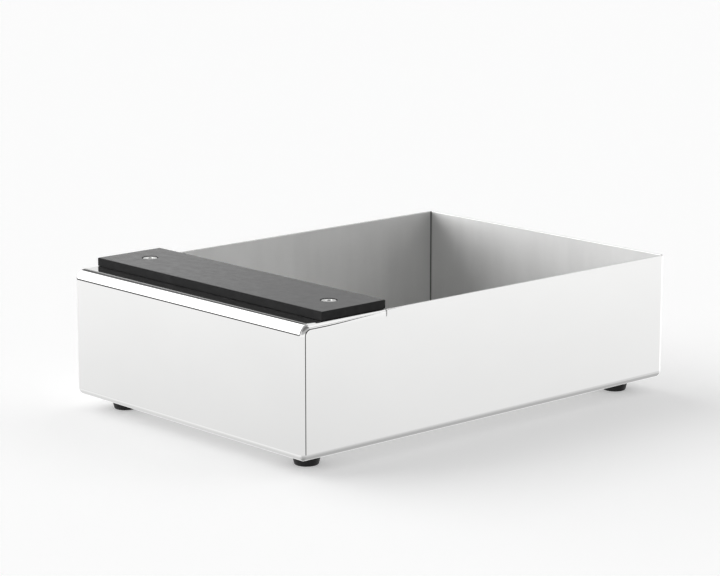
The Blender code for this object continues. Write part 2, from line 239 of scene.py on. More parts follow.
def threadRows(thread, start, end):
    # screw thread: radius = crest - depth x wave. Once in each pitch the wave rises with straight sides to a
    # flat, going round with the angle, and it fades in at both ends
    count = int(round(abs(end - start) / thread["pitch"] * thread["rowsPerPitch"]))
    rows = []
    for height in np.linspace(start, end, count + 1):
        phase = (height / thread["pitch"] - wholeTurn / (2 * math.pi)) % 1
        wave = np.clip(turnSettings["waveTop"] - np.abs(phase - 0.5) * turnSettings["waveSlope"], 0, 1)
        fade = min(1, abs(height - start) / thread["pitch"], abs(height - end) / thread["pitch"])
        rows.append((thread["crest"] - thread["depth"] * wave * fade, height))
    return rows


# Materials

noiseMiddle = {"From Min": 0.3, "From Max": 0.7}  # most values of a noise lie in this range


def addNode(tree, kind, inputs=None, **settings):
    node = tree.nodes.new(kind)
    for key, value in settings.items():
        setattr(node, key, value)
    for key, value in (inputs or {}).items():
        if isinstance(value, bpy.types.NodeSocket):
            tree.links.new(value, node.inputs[key])
        else:
            node.inputs[key].default_value = value
    return node


def newMaterial(name, look):
    material = bpy.data.materials.new(name)
    material.use_nodes = True
    tree = material.node_tree
    shader = tree.nodes["Principled BSDF"]
    # a look that doesn't name the last two has Blender's own values
    shader.inputs["Metallic"].default_value = look["metallic"]
    shader.inputs["Specular IOR Level"].default_value = look.get("specular", 0.5)
    shader.inputs["IOR"].default_value = look.get("ior", 1.5)
    return material, tree, shader


def objectPlace(tree):
    return addNode(tree, "ShaderNodeTexCoord").outputs["Object"]


def surfacePlace(tree):
    return addNode(tree, "ShaderNodeUVMap", uv_map="surface").outputs["UV"]


def grain(tree, coordinates, stretch, detail):
    # noise stretched by its own scale in each direction, from 0 to 1
    placed = addNode(tree, "ShaderNodeMapping", {"Vector": coordinates, "Scale": stretch})
    noise = {"Vector": placed.outputs["Vector"], "Scale": 1.0, "Detail": detail}
    return addNode(tree, "ShaderNodeTexNoise", noise).outputs["Fac"]


def spread(tree, value, low, high, source=noiseMiddle):
    # one range of a value, stretched to the range that a socket needs
    node = addNode(tree, "ShaderNodeMapRange", {"Value": value, "To Min": low, "To Max": high, **source})
    return node.outputs["Result"]


def multiply(tree, first, second):
    return addNode(tree, "ShaderNodeMath", {0: first, 1: second}, operation="MULTIPLY").outputs[0]


def mixColors(tree, share, first, second):
    # sockets 0, 6 and 7 of the Mix node are the share and the two colours
    node = addNode(tree, "ShaderNodeMix", {0: share, 6: first, 7: second}, data_type="RGBA")
    return node.outputs[2]


def shade(tree, value, look):
    # a colour that wanders between the look's dark and light tones
    return mixColors(tree, spread(tree, value, 0.0, 1.0), (*look["dark"], 1), (*look["light"], 1))


def bump(tree, shader, value, distance, strength):
    node = addNode(tree, "ShaderNodeBump", {"Height": value, "Distance": distance, "Strength": strength})
    tree.links.new(node.outputs["Normal"], shader.inputs["Normal"])


polishedLook = {
    "metallic": 1.0, "dark": (0.815, 0.815, 0.81), "light": (0.835, 0.835, 0.83), "roughness": (0.035, 0.065),
    "clouds": ((14, 14, 22), 3.0), "wheel": ((260, 260, 4200), 2.0),
    # the roughness follows the product of both noises over this range
    "product": {"From Min": 0.12, "From Max": 0.4},
}


def polishedSteel(look=polishedLook):
    # mirror finish, with faint clouds and the fine lines that a polishing wheel leaves
    material, tree, shader = newMaterial("polishedSteel", look)
    place = objectPlace(tree)
    clouds = grain(tree, place, *look["clouds"])
    wheel = grain(tree, place, *look["wheel"])
    tree.links.new(shade(tree, clouds, look), shader.inputs["Base Color"])
    rough = spread(tree, multiply(tree, clouds, wheel), *look["roughness"], look["product"])
    tree.links.new(rough, shader.inputs["Roughness"])
    return material


satinLook = {
    "metallic": 1.0, "dark": (0.76, 0.76, 0.755), "light": (0.82, 0.82, 0.815), "roughness": (0.44, 0.52),
    "strokes": ((45, 5200, 1), 4.0), "clouds": ((55, 12, 1), 3.0), "bump": (0.000004, 1.0),
    "anisotropy": 0.65, "anisotropyTurn": 0.25,
    # the colour of the painted shade along the bin's inner corners, how far from the middle its line starts on
    # each axis, and its width
    "paintedShade": (0.15, 0.15, 0.145), "paintedShadeFrom": (0.0975, 0.1390), "paintedShadeWidth": 0.0008,
}


def satinSteel(look=satinLook):
    # the inside of the bin: brushed along each wall, with painted shade darkening a thin line in each inner
    # corner
    material, tree, shader = newMaterial("satinSteel", look)
    surface = surfacePlace(tree)
    strokes = grain(tree, surface, *look["strokes"])
    steel = shade(tree, grain(tree, surface, *look["clouds"]), look)
    # where both of these are 1, the metal is painted dark: painted shade in the inner corner
    split = addNode(tree, "ShaderNodeSeparateXYZ", {"Vector": objectPlace(tree)})
    inCorner = []
    for axis, start in zip("XY", look["paintedShadeFrom"]):
        off = addNode(tree, "ShaderNodeMath", {0: split.outputs[axis]}, operation="ABSOLUTE").outputs[0]
        line = {"From Min": start, "From Max": start + look["paintedShadeWidth"]}
        inCorner.append(spread(tree, off, 0.0, 1.0, line))
    # painted shade: the steel's colour mixed towards a dark grey along the inner corners
    welded = mixColors(tree, multiply(tree, *inCorner), steel, (*look["paintedShade"], 1))
    tree.links.new(welded, shader.inputs["Base Color"])
    tree.links.new(spread(tree, strokes, *look["roughness"]), shader.inputs["Roughness"])
    shader.inputs["Anisotropic"].default_value = look["anisotropy"]
    shader.inputs["Anisotropic Rotation"].default_value = look["anisotropyTurn"]
    tangent = addNode(tree, "ShaderNodeTangent", direction_type="UV_MAP", uv_map="surface")
    tree.links.new(tangent.outputs["Tangent"], shader.inputs["Tangent"])
    bump(tree, shader, strokes, *look["bump"])
    return material


def grainedMaterial(name, look):
    # one noise for the colour and the roughness; that noise or a finer one for the bumps
    material, tree, shader = newMaterial(name, look)
    place = surfacePlace(tree) if look.get("followsSurface") else objectPlace(tree)
    mottle = grain(tree, place, *look["mottle"])
    tree.links.new(shade(tree, mottle, look), shader.inputs["Base Color"])
    tree.links.new(spread(tree, mottle, *look["roughness"]), shader.inputs["Roughness"])
    if "bump" in look:
        bump(tree, shader, grain(tree, place, *look["skin"]) if "skin" in look else mottle, *look["bump"])
    return material


# the sheared and deburred edge of the sheet
cutEdgeLook = {
    "metallic": 1.0, "dark": (0.84, 0.84, 0.835), "light": (0.90, 0.90, 0.895), "roughness": (0.10, 0.18),
    "mottle": ((900, 900, 900), 3.0), "bump": (0.00002, 0.4),
}
# bright turned fasteners, with rings left by the lathe round their axis
turnedLook = {
    "metallic": 1.0, "dark": (0.72, 0.72, 0.71), "light": (0.88, 0.88, 0.87), "roughness": (0.12, 0.24),
    "followsSurface": True, "mottle": ((5, 9000, 1), 2.0), "bump": (0.000004, 1.0),
}
# smooth black rubber sheet with a fine satin skin, and its duller cut sides
barLook = {
    "metallic": 0.0, "ior": 1.45, "dark": (0.004, 0.004, 0.0045), "light": (0.008, 0.008, 0.0085),
    "roughness": (0.20, 0.26), "mottle": ((160, 220, 220), 5.0), "skin": ((2600, 2600, 2600), 4.0),
    "bump": (0.000012, 1.0),
}
barCutLook = dict(barLook, ior=1.4, specular=0.03, dark=(0.028, 0.028, 0.0285), light=(0.038, 0.038, 0.0385),
                  roughness=(0.42, 0.52))
# moulded matt rubber with a slightly pitted skin
footLook = {
    "metallic": 0.0, "specular": 0.35, "dark": (0.006, 0.006, 0.006), "light": (0.014, 0.014, 0.014),
    "roughness": (0.5, 0.7), "mottle": ((1400, 1400, 1400), 4.0), "bump": (0.00003, 0.6),
}
# the pale ring that locks a nut on its thread
nylonLook = {
    "metallic": 0.0, "dark": (0.55, 0.56, 0.55), "light": (0.68, 0.69, 0.67), "roughness": (0.35, 0.5),
    "mottle": ((1200, 1200, 1200), 3.0),
}

finishes = {
    "polished": polishedSteel(),
    "satin": satinSteel(),
    "cutEdge": grainedMaterial("cutEdgeSteel", cutEdgeLook),
    "turned": grainedMaterial("turnedSteel", turnedLook),
    "bar": grainedMaterial("barRubber", barLook),
    "barCut": grainedMaterial("barCutRubber", barCutLook),
    "foot": grainedMaterial("footRubber", footLook),
    "nylon": grainedMaterial("nylonInsert", nylonLook),
}
print("materials made:", len(finishes))


# The folded box

shellSettings = {
    "sheet": 0.0015, "cornerRadius": 0.003, "frontBend": 0.006, "bottomBend": 0.0042,
    "shelfDepth": 0.0593, "slitWidth": 0.0004, "slitRunout": 0.0006,
    "floorHole": {"square": 0.004, "cells": 6, "fan": 2, "radius": 0.0018},
    "shelfHole": {"square": 0.005, "cells": 8, "fan": 2, "radius": 0.0028},
    "edgeRounding": 0.0002, "edgeGuard": 0.0001, "edgeSteps": 4,
    # line left inside each corner where the walls were welded together, with its half angle in degrees
    "insideCorner": 0.0006, "seamDepth": 0.0007, "seamHalfAngle": 24,
    # towards the slits the shelf's rounded ends become sharper over this length
    "endRadius": 0.0014, "endTaper": 0.048, "endReach": 0.006,
    # the grid: steps in each bend, a line close beside it, and even lines over shares of the half sizes
    "bendSteps": 24, "cornerSteps": 20, "guard": 0.00025,
    "spans": 12, "spansAcross": (-0.74, 0.74), "spansAlong": (-0.5, 0.88),
    "shelfStart": 0.004, "shelfLines": 5, "taperLines": 9,
}


def middleOf(low, high):
    return (low.x + high.x) / 2, (low.y + high.y) / 2


def holesAt(nodes, hole):
    # the settings of a hole, once on the axis of each node
    return [dict(hole, x=x, y=y) for x, y in (middleOf(*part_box(node)) for node in nodes)]


def shellGrid(s):
    # sizes of the sheet's outer face, and the lines and columns that its parts share
    g = SimpleNamespace(corner=s["cornerRadius"], bottom=s["bottomBend"], front=s["frontBend"])
    g.low, g.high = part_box("box_shell")
    g.halfX = (g.high.x - g.low.x) / 2
    g.halfY = (g.high.y - g.low.y) / 2
    g.innerX, g.innerY = g.halfX - g.corner, g.halfY - g.corner
    g.floorX, g.floorY = g.halfX - g.bottom, g.halfY - g.bottom
    g.shelfRear = -g.halfY + s["shelfDepth"]
    g.slitRear = g.shelfRear + s["slitWidth"]
    g.slitFoot = g.high.z - g.corner - s["slitRunout"]
    g.bendFoot = g.high.z - g.front

    feet = ["foot_" + end + "_" + side for end in ("front", "back") for side in ("left", "right")]
    g.footHoles = holesAt(feet, s["floorHole"])
    g.barHoles = holesAt(["bar_screw_left", "bar_screw_right"], s["shelfHole"])
    guard, count = s["guard"], s["spans"] + 1
    g.across = lines(-1, 1, -1 + guard / g.innerX, 1 - guard / g.innerX,
                     np.linspace(*s["spansAcross"], count),
                     *[holeLines(h["x"], h) / g.floorX for h in g.footHoles[:2]],
                     *[holeLines(h["x"], h) / g.innerX for h in g.barHoles])
    g.bend = np.linspace(0, math.pi / 2, s["bendSteps"] + 1)
    foldEnd = -g.halfY + g.front
    shelfY = lines(foldEnd, foldEnd + guard, holeLines(g.barHoles[0]["y"], g.barHoles[0]),
                   np.linspace(foldEnd + s["shelfStart"], g.shelfRear, s["shelfLines"]),
                   np.linspace(g.shelfRear - s["endTaper"], g.shelfRear, s["taperLines"]))
    bendY = foldEnd - (g.front - g.corner) * np.cos(g.bend)
    g.along = lines(bendY / g.innerY, shelfY / g.innerY, g.slitRear / g.innerY,
                    np.linspace(*s["spansAlong"], count), 1 - guard / g.innerY, 1,
                    *[holeLines(h["y"], h) / g.floorY for h in g.footHoles[::2]])
    onShelf = (g.along * g.innerY > bendY[-1] - near) & (g.along * g.innerY < g.shelfRear + near)
    g.shelfY = g.along[onShelf] * g.innerY
    g.columns = around(g.across, g.along, s["cornerSteps"])
    # for each column, the radius of the inner corner and how much deeper the weld's seam goes
    atBack = g.columns[1] > 0
    g.inside = np.where(atBack, s["insideCorner"], g.corner - s["sheet"])
    diagonal = abs(np.degrees(np.arctan2(abs(g.columns[3]), abs(g.columns[2]))) - 45) < s["seamHalfAngle"]
    g.seam = diagonal * atBack * s["seamDepth"]
    return g


def lowerPatches(s, g):
    # bottom bend and walls, stacked up to the front bend, and the floor: the bend takes from the corner's
    # radius until its two sides meet in a mitre
    turn = np.linspace(math.pi / 2, 0, s["bendSteps"] + 1)
    wallFoot = g.low.z + g.bottom
    wallRows = [wallFoot + s["guard"], (g.low.z + g.bendFoot) / 2, g.bendFoot - s["guard"], g.bendFoot]

    def wallRings(gap, plan, groove):
        # the face that lies this gap inside the outer one, with its corner radius and a groove in its corners
        bent = g.bottom - gap
        inset = gap + np.concatenate([bent * (1 - np.cos(turn)), np.zeros(len(wallRows))])[:, None]
        height = np.concatenate([wallFoot - bent * np.sin(turn), wallRows])
        radius = np.clip(plan - (inset - gap), 0, None)
        reach = radius + groove * radius / plan
        return ringPatch(g.columns, g.halfX - inset - radius, g.halfY - inset - radius, reach, height, 0)

    walls = wallRings(0, g.corner, 0)
    walls["normals"] = (walls["points"] - wallRings(s["sheet"], g.inside, g.seam)["points"]) / s["sheet"]
    return [walls] + flatPatch(g.across * g.floorX, g.along * g.floorY, g.low.z, -1, g.footHoles)


def beltPatches(s, g):
    # a belt carried over the front bend and along the shelf, with the corner's rounding at both ends
    ends = s["cornerSteps"]
    beltNormal = np.stack([-np.cos(g.bend), np.sin(g.bend)], axis=-1)
    beltPoint = np.array([-g.halfY + g.front, g.bendFoot]) + g.front * beltNormal
    flat = len(g.shelfY) - 1
    beltPoint = np.concatenate([beltPoint, np.stack([g.shelfY[1:], np.full(flat, g.high.z)], axis=-1)])
    beltNormal = np.concatenate([beltNormal, np.broadcast_to([0.0, 1.0], (flat, 2))])
    fillet = np.linspace(0, math.pi / 2, ends + 1)
    share = np.concatenate([np.full(ends, -1), g.across, np.full(ends, 1)])
    sideways = np.concatenate([-np.sin(fillet[:0:-1]), np.zeros(len(g.across)), np.sin(fillet[1:])])
    upward = np.sqrt(np.clip(1 - sideways ** 2, 0, 1))
    depth = g.corner * (1 - upward)
    normalY, normalZ = beltNormal[:, :1], beltNormal[:, 1:]
    x = np.broadcast_to(share * g.innerX + g.corner * sideways, (len(beltPoint), len(share)))
    points = np.stack([x, beltPoint[:, :1] - depth * normalY, beltPoint[:, 1:] - depth * normalZ], axis=-1)
    normals = np.stack(np.broadcast_arrays(sideways, upward * normalY, upward * normalZ), axis=-1)
    first = len(g.bend) - 1
    patches = [makePatch(points[:first + 1], points[:first + 1, :, :2], 0, normals[:first + 1])]
    for part in (slice(0, ends + 1), slice(len(share) - ends - 1, len(share))):
        patches.append(makePatch(points[first:, part], points[first:, part, :2], 0, normals[first:, part]))
    return patches + flatPatch(g.across * g.innerX, g.shelfY, g.high.z, 1, g.barHoles)


def sidePatches(s, g):
    # side walls beside the belt and below the slits, and the walls behind the slits up to the top
    patches = []
    level = (g.slitFoot - g.bendFoot) / (g.high.z - g.corner - g.bendFoot)
    alongY = g.along * g.innerY
    reach = np.clip((g.front - g.corner) ** 2 - np.minimum(alongY + g.halfY - g.front, 0) ** 2, 0, None)
    top = g.bendFoot + np.sqrt(reach)
    beside = alongY <= g.shelfRear + near
    under = (alongY >= g.shelfRear - near) & (alongY <= g.slitRear + near)
    strips = ((beside, [0, level, 1], top), (under, [0, 1], np.full_like(top, g.slitFoot)))
    for sign in (-1, 1):
        for chosen, shares, topZ in strips:
            z = g.bendFoot + np.array(shares)[:, None] * (topZ[chosen] - g.bendFoot)
            y = np.broadcast_to(alongY[chosen], z.shape)
            points = np.stack([np.full_like(z, sign * g.halfX), y, z], axis=-1)
            outward = np.broadcast_to([float(sign), 0, 0], points.shape)
            patches.append(makePatch(points, points[..., 1:], 0, outward))
    behind = g.columns[1] * g.innerY >= g.slitRear - near
    columns, seam = g.columns[:, behind], g.seam[behind]
    inside = g.inside[behind][None, :]
    sheet = s["sheet"]
    levels = [g.bendFoot, g.slitFoot, g.high.z]
    upper = ringPatch(columns, g.innerX, g.innerY, g.corner, levels, 0)
    inner = ringPatch(columns, g.halfX - sheet - inside, g.halfY - sheet - inside, inside + seam, levels, 0)
    upper["normals"] = (upper["points"] - inner["points"]) / sheet
    return patches + [upper]


def sharpenEnds(patches, s, g):
    # up to the corner's radius from the side and the top, distances shrink by a share that grows along the
    # shelf as 3 t^2 - 2 t^3, and past it the shift dies out evenly over the reach
    def shrink(distance, share, reach):
        fade = np.clip(1 - (distance - g.corner) / reach, 0, 1)
        return distance - share * np.minimum(distance, g.corner) * fade

    for patch in patches:
        x, y, z = np.moveaxis(patch["points"], -1, 0)
        taper = np.clip((y - g.shelfRear) / s["endTaper"] + 1, 0, 1)
        onShelf = (y < g.shelfRear + near) & (z > g.bendFoot)
        share = taper ** 2 * (3 - 2 * taper) * (1 - s["endRadius"] / g.corner) * onShelf
        moved = np.stack([np.sign(x) * (g.halfX - shrink(g.halfX - abs(x), share, s["endReach"])), y,
                          g.high.z - shrink(g.high.z - z, share, s["slitRunout"])], axis=-1)
        patch["normals"] = patch["normals"] + (moved - patch["points"]) / s["sheet"]
        patch["points"] = moved
    return patches


def shellPatches(s):
    # outer face of the sheet; each point's outward direction says where the inner face lies
    g = shellGrid(s)
    return sharpenEnds(lowerPatches(s, g) + beltPatches(s, g) + sidePatches(s, g), s, g)


def thicken(welded, s):
    # the inner face lies one sheet behind the outer one. Open edges are drawn back along the sheet, and a
    # strip is carried over them: point = edge - r outward - r facing + r (sin a outward + cos a facing)
    thickness, r, guard = s["sheet"], s["edgeRounding"], s["edgeGuard"]
    points, facing = welded["points"], welded["normals"]
    count = len(points)
    faces = [welded["quads"], welded["triangles"]]
    starts = np.concatenate([f.ravel() for f in faces])
    ends = np.concatenate([np.roll(f, -1, axis=1).ravel() for f in faces])
    openEdges = ~np.isin(starts * count + ends, ends * count + starts)
    a, b = starts[openEdges], ends[openEdges]
    away = np.cross(points[b] - points[a], facing[a] + facing[b])
    away /= np.linalg.norm(away, axis=1, keepdims=True)
    before, after = np.zeros_like(points), np.zeros_like(points)
    before[b], after[a] = away, away
    outward = (before[a] + after[a]) / (1 + (before[a] * after[a]).sum(axis=1, keepdims=True))
    n, rim = facing[a], points[a].copy()
    back = rim - thickness * n
    quarter = np.radians(np.linspace(0, 90, s["edgeSteps"] + 1))
    rows = [rim - r * outward - r * n + r * (math.sin(q) * outward + math.cos(q) * n) for q in quarter]
    rows += [back - r * outward + r * n + r * (math.cos(q) * outward - math.sin(q) * n) for q in quarter]
    innerPoints = points - thickness * facing
    points[a] -= (r + guard) * outward
    innerPoints[a] -= (r + guard) * outward
    place = np.zeros(count, np.int64)
    place[a] = np.arange(len(a))
    first = [a] + [2 * count + k * len(a) + place[a] for k in range(len(rows))] + [a + count]
    second = [b] + [2 * count + k * len(a) + place[b] for k in range(len(rows))] + [b + count]
    strips = [np.stack([second[k], first[k], first[k + 1], second[k + 1]], axis=1)
              for k in range(len(rows) + 1)]
    stripMaterials = np.repeat([0] + [2] * (len(rows) - 1) + [1], len(a))
    quadCount, triangleCount = len(welded["quads"]), len(welded["triangles"])
    welded["points"] = np.concatenate([points, innerPoints] + rows)
    welded["quads"] = np.concatenate([welded["quads"], welded["quads"][:, ::-1] + count] + strips)
    welded["triangles"] = np.concatenate([welded["triangles"], welded["triangles"][:, ::-1] + count])
    welded["materials"] = np.concatenate(
        [np.repeat([0, 1], quadCount), stripMaterials, np.repeat([0, 1], triangleCount)]
    )
    print("sheet: open edges", len(a), "faces", len(welded["quads"]) + len(welded["triangles"]))
    return welded


def wallUv(welded):
    # each face is laid flat along its own wall, in metres, so that brushing runs along the wall
    def laidFlat(faces):
        corners = welded["points"][faces]
        facing = np.abs(np.cross(corners[:, 1] - corners[:, 0], corners[:, 2] - corners[:, 0]))
        widest = np.argmax(facing, axis=1)
        pick = np.array([[1, 2], [0, 2], [1, 0]])[widest]
        return np.take_along_axis(corners, np.repeat(pick[:, None, :], faces.shape[1], axis=1), axis=2)

    welded["quadUv"] = laidFlat(welded["quads"])
    welded["triangleUv"] = laidFlat(welded["triangles"])
    return welded


shellSurface = wallUv(thicken(weldPatches(shellPatches(shellSettings)), shellSettings))
shell = makePiece("foldedBox", ["box_shell"], shellSurface,
                  [finishes["polished"], finishes["satin"], finishes["cutEdge"]])
print("folded box made:", len(shell.data.polygons), "faces")


# The knock bar

barSettings = {
    "rounding": 0.0004, "footRise": 0.0007, "settle": 0.00026,
    "headClearance": 0.0001, "shankClearance": 0.0003, "coneClearance": 0.00014, "lip": 0.0001,
    "hole": {"square": 0.0065, "cells": 16, "fan": 3},
    # the grid: steps in the roundings, a line close beside each edge, even lines over a share of the length
    "roundSteps": 5, "cornerSteps": 8, "guard": 0.0003, "spans": 14, "spansAcross": 0.8,
}


def barPatches(s):
    # a slab with rounded edges: stacked rectangles whose reach follows an arc, and flat faces with holes
    low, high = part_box("knock_bar")
    low.z -= s["settle"]
    middle = middleOf(low, high)
    r, guard = s["rounding"], s["guard"]
    halfX, halfY = (high.x - low.x) / 2 - r, (high.y - low.y) / 2 - r
    screws = ["bar_screw_left", "bar_screw_right"]
    headLow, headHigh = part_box(screws[0])
    headRadius = (headHigh.x - headLow.x) / 2 + s["headClearance"]
    shankRadius = barScrewSettings["thread"]["crest"] + s["shankClearance"]
    rimRadius = headRadius + s["lip"]
    holes = holesAt(screws, s["hole"])
    crossings = [holeLines(h["x"], h) - middle[0] for h in holes]
    evenLines = np.linspace(-s["spansAcross"] * halfX, s["spansAcross"] * halfX, s["spans"])
    xs = lines(-halfX, halfX, -halfX + guard, halfX - guard, evenLines, *crossings)
    # inside a hole's square only the hole's own lines stay
    xs = xs[[not any(abs(x + middle[0] - h["x"]) < h["square"] and abs(crossing - x).min() > near
                     for h, crossing in zip(holes, crossings)) for x in xs]]
    ys = lines(-halfY, halfY, -halfY + guard, halfY - guard, holeLines(holes[0]["y"], holes[0]) - middle[1])
    columns = around(xs / halfX, ys / halfY, s["cornerSteps"])
    up = np.linspace(math.pi / 2, 0, s["roundSteps"] + 1)
    tilt = np.concatenate([up, -up[::-1]])
    height = np.concatenate([high.z - r + r * np.sin(up), low.z + s["footRise"] * (1 - np.sin(up[::-1]))])
    patches = [ringPatch(columns, halfX, halfY, r * np.cos(tilt), height, tilt, middle, 1)]
    topHoles = [dict(h, radius=rimRadius) for h in holes]
    bottomHoles = [dict(h, radius=shankRadius) for h in holes]
    patches += flatPatch(xs + middle[0], ys + middle[1], high.z, 1, topHoles)
    patches += flatPatch(xs + middle[0], ys + middle[1], low.z, -1, bottomHoles)
    coneTop = headHigh.z - barScrewSettings["rim"] - s["coneClearance"]
    rows = [(rimRadius, high.z), (headRadius, high.z - s["lip"]), (headRadius, coneTop),
            (shankRadius, coneTop - (headRadius - shankRadius)), (shankRadius, low.z)]
    for h in topHoles:
        wall = turnedPatch(rows, (h["x"], h["y"]), 0, h["turn"])
        wall["normals"] = np.array([h["x"], h["y"], high.z]) - wall["points"]
        patches.append(wall)
    return patches


# Countersunk screws of the bar, with their washers and locking nuts

# a socket's drilled middle, as a share of the key's width, and its corners, as a share of its flats
socketShape = {"drillShare": 0.42, "cornerShare": 1.155}

barScrewSettings = {
    "thread": {"crest": 0.00248, "depth": 0.00042, "pitch": 0.0008, "rowsPerPitch": 8},
    # the head is this much smaller all round than the solid's; the neck is the plain shank below its cone
    "trim": 0.0004, "rim": 0.0005, "edge": 0.00045, "faceShare": 0.72, "neck": 0.0006, "tip": 0.0005,
    "key": 0.003, "keyDepth": 0.0018, "keyChamfer": 0.00045, "drill": 0.0004,
}


def barScrewRows(s, low, high):
    # from the drilled centre of the socket up its six sides, over the face and down the cone and the thread
    head = (high.x - low.x) / 2 - s["trim"]
    crest = s["thread"]["crest"]
    hexagon = hexRadius(s["key"])
    top = high.z
    socketFoot = top - s["keyDepth"]
    coneTop = top - s["rim"]
    coneFoot = coneTop - (head - crest)
    rows = [(0, socketFoot - s["drill"]), (s["key"] * socketShape["drillShare"], socketFoot),
            (hexagon, socketFoot), (hexagon, top - s["keyChamfer"]),
            (s["key"] / 2 * socketShape["cornerShare"] + s["keyChamfer"], top), (head * s["faceShare"], top)]
    rows += arcRows((head - s["edge"], top - s["edge"]), s["edge"], 90, 0, turnSettings["edgeSteps"])
    rows += [(head, coneTop), (crest, coneFoot)]
    rows += threadRows(s["thread"], coneFoot - s["neck"], low.z + s["tip"])
    rows += [(crest - s["tip"], low.z), (0, low.z)]
    return rows


lockNutSettings = {
    "across": 0.008, "hexHeight": 0.0036, "chamfer": 0.5, "faceShare": 0.97, "cornerGap": 0.00008,
    "bore": 0.00262, "lead": 0.0003,
    # the round collar: its radius, the fillet at its top, and the edge that is rolled in over the insert
    "collar": 0.0036, "fillet": 0.0002, "roll": 0.0005, "rollSteps": 5,
    "lipWidth": 0.0008, "lipHeight": 0.00005, "mouth": 0.0009,
    # the insert: how far it lies inside the collar's end, its height, and the edge at its bore
    "sunk": 0.0003, "insert": 0.0009, "insertEdge": 0.0001,
}


def lockNutPatches(s, low, high):
    # hexagon whose corners are cut by a cone: height falls as the side's radius passes that of the flat;
    # below it the round collar, rolled in over the insert
    hexagon = hexRadius(s["across"])
    flat, collar, bore, roll = s["across"] / 2, s["collar"], s["bore"], s["roll"]
    cut = (hexagon - flat) * s["chamfer"]
    shoulder = high.z - s["hexHeight"]
    face = flat * s["faceShare"]
    insertFoot = low.z + s["sunk"]
    body = [(bore, high.z - s["lead"]), (bore + s["lead"], high.z), (face, high.z),
            (hexagon, high.z - cut - s["cornerGap"]), (hexagon, shoulder + cut + s["cornerGap"]),
            (face, shoulder), (collar + s["fillet"], shoulder), (collar, shoulder - s["fillet"])]
    body += arcRows((collar - roll, low.z + roll), roll, 0, -90, s["rollSteps"])
    body += [(collar - s["lipWidth"], low.z + s["lipHeight"]), (collar - s["mouth"], insertFoot)]
    insert = [(collar - s["mouth"], insertFoot), (bore + s["insertEdge"], insertFoot),
              (bore, insertFoot + s["insertEdge"]), (bore, insertFoot + s["insert"])]
    boreWall = [(bore, insertFoot + s["insert"]), (bore, high.z - s["lead"])]
    center = middleOf(low, high)
    return [turnedPatch(body, center, 0), turnedPatch(insert, center, 1), turnedPatch(boreWall, center, 0)]


barWasherSettings = {"edge": 0.00015, "bore": 0.00275}
footWasherSettings = {"edge": 0.00015, "bore": 0.00175}


def washerRows(s, low, high):
    # a flat ring, with its outer and inner edges rounded
    e, steps = s["edge"], turnSettings["edgeSteps"]
    outer, bore = (high.x - low.x) / 2 - e, s["bore"] + e
    top, foot = high.z - e, low.z + e
    outside = arcRows((outer, top), e, 90, 0, steps) + arcRows((outer, foot), e, 0, -90, steps)
    inside = arcRows((bore, foot), e, 270, 180, steps) + arcRows((bore, top), e, 180, 90, steps)
    return [(bore, high.z)] + outside + inside


def placeTurned(name, node, makeRows, s, finish="turned"):
    # one turned piece, with the size and the axis of the node that it stands for
    low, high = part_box(node)
    surface = weldPatches([turnedPatch(makeRows(s, low, high), middleOf(low, high))])
    makePiece(name, [node], surface, [finishes[finish]])


for side in ("left", "right"):
    label = side.capitalize()
    placeTurned("barScrew" + label, "bar_screw_" + side, barScrewRows, barScrewSettings)
    nut = "bar_nut_" + side
    nutSurface = weldPatches(lockNutPatches(lockNutSettings, *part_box(nut)))
    makePiece("barNut" + label, [nut], nutSurface, [finishes["turned"], finishes["nylon"]])
    placeTurned("barWasher" + label, "bar_washer_" + side, washerRows, barWasherSettings)
bar = makePiece("knockBar", ["knock_bar"], weldPatches(barPatches(barSettings)),
                [finishes["bar"], finishes["barCut"]])
print("knock bar and its fastenings made:", len(bar.data.polygons), "faces")


# Feet, with their screws, washers and dome nuts

footSettings = {
    "base": 0.0068, "edge": 0.0008, "slope": 8, "steps": 6, "bore": 0.0018, "washerGap": 0.0003,
    "recess": 0.0038, "recessEdge": 0.0002, "ledgeEdge": 0.0003, "recessSteps": 3,
}


def footRows(s, low, high):
    # cone from the wide top to the narrow base, hollowed below for the screw's head up to a ledge
    top = (high.x - low.x) / 2
    e, lip, fillet, ledge = s["edge"], s["recessEdge"], s["ledgeEdge"], s["ledge"]
    rows = [(s["bore"], high.z)] + arcRows((top - e, high.z - e), e, 90, s["slope"], s["steps"])
    rows += arcRows((s["base"] - e, low.z + e), e, 0, -90, s["steps"])
    rows += arcRows((s["recess"] + lip, low.z + lip), lip, 270, 180, s["recessSteps"])
    rows += [(s["recess"], ledge + fillet)]
    rows += arcRows((s["recess"] - fillet, ledge - fillet), fillet, 0, 90, s["recessSteps"])
    return rows + [(s["bore"], ledge), (s["bore"], high.z)]


footScrewSettings = {
    "thread": {"crest": 0.00148, "depth": 0.00026, "pitch": 0.0005, "rowsPerPitch": 8},
    "headHeight": 0.00165, "flat": 0.0015, "domeStart": 6, "domeSteps": 10, "seatEdge": 0.0001,
    "neck": 0.0004, "tip": 0.0004, "key": 0.002, "keyDepth": 0.00104, "keyChamfer": 0.00012, "drill": 0.0003,
}


def footScrewRows(s, low, high):
    # from the tip down the thread, out under the head, round its dome and up into the socket
    head = (high.x - low.x) / 2
    crest, height = s["thread"]["crest"], s["headHeight"]
    seat = low.z + height
    hexagon = hexRadius(s["key"])
    socketTop = low.z + s["keyDepth"]
    rows = [(0, high.z), (crest - s["tip"], high.z)]
    rows += threadRows(s["thread"], high.z - s["tip"], seat + s["neck"])
    rows += [(crest, seat), (head - s["seatEdge"], seat)]
    for turn in np.radians(np.linspace(s["domeStart"], 90, s["domeSteps"] + 1)):
        rows.append((s["flat"] + (head - s["flat"]) * math.cos(turn), seat - height * math.sin(turn)))
    rows += [(s["key"] / 2 * socketShape["cornerShare"] + s["keyChamfer"], low.z),
             (hexagon, low.z + s["keyChamfer"]), (hexagon, socketTop),
             (s["key"] * socketShape["drillShare"], socketTop), (0, socketTop + s["drill"])]
    return rows


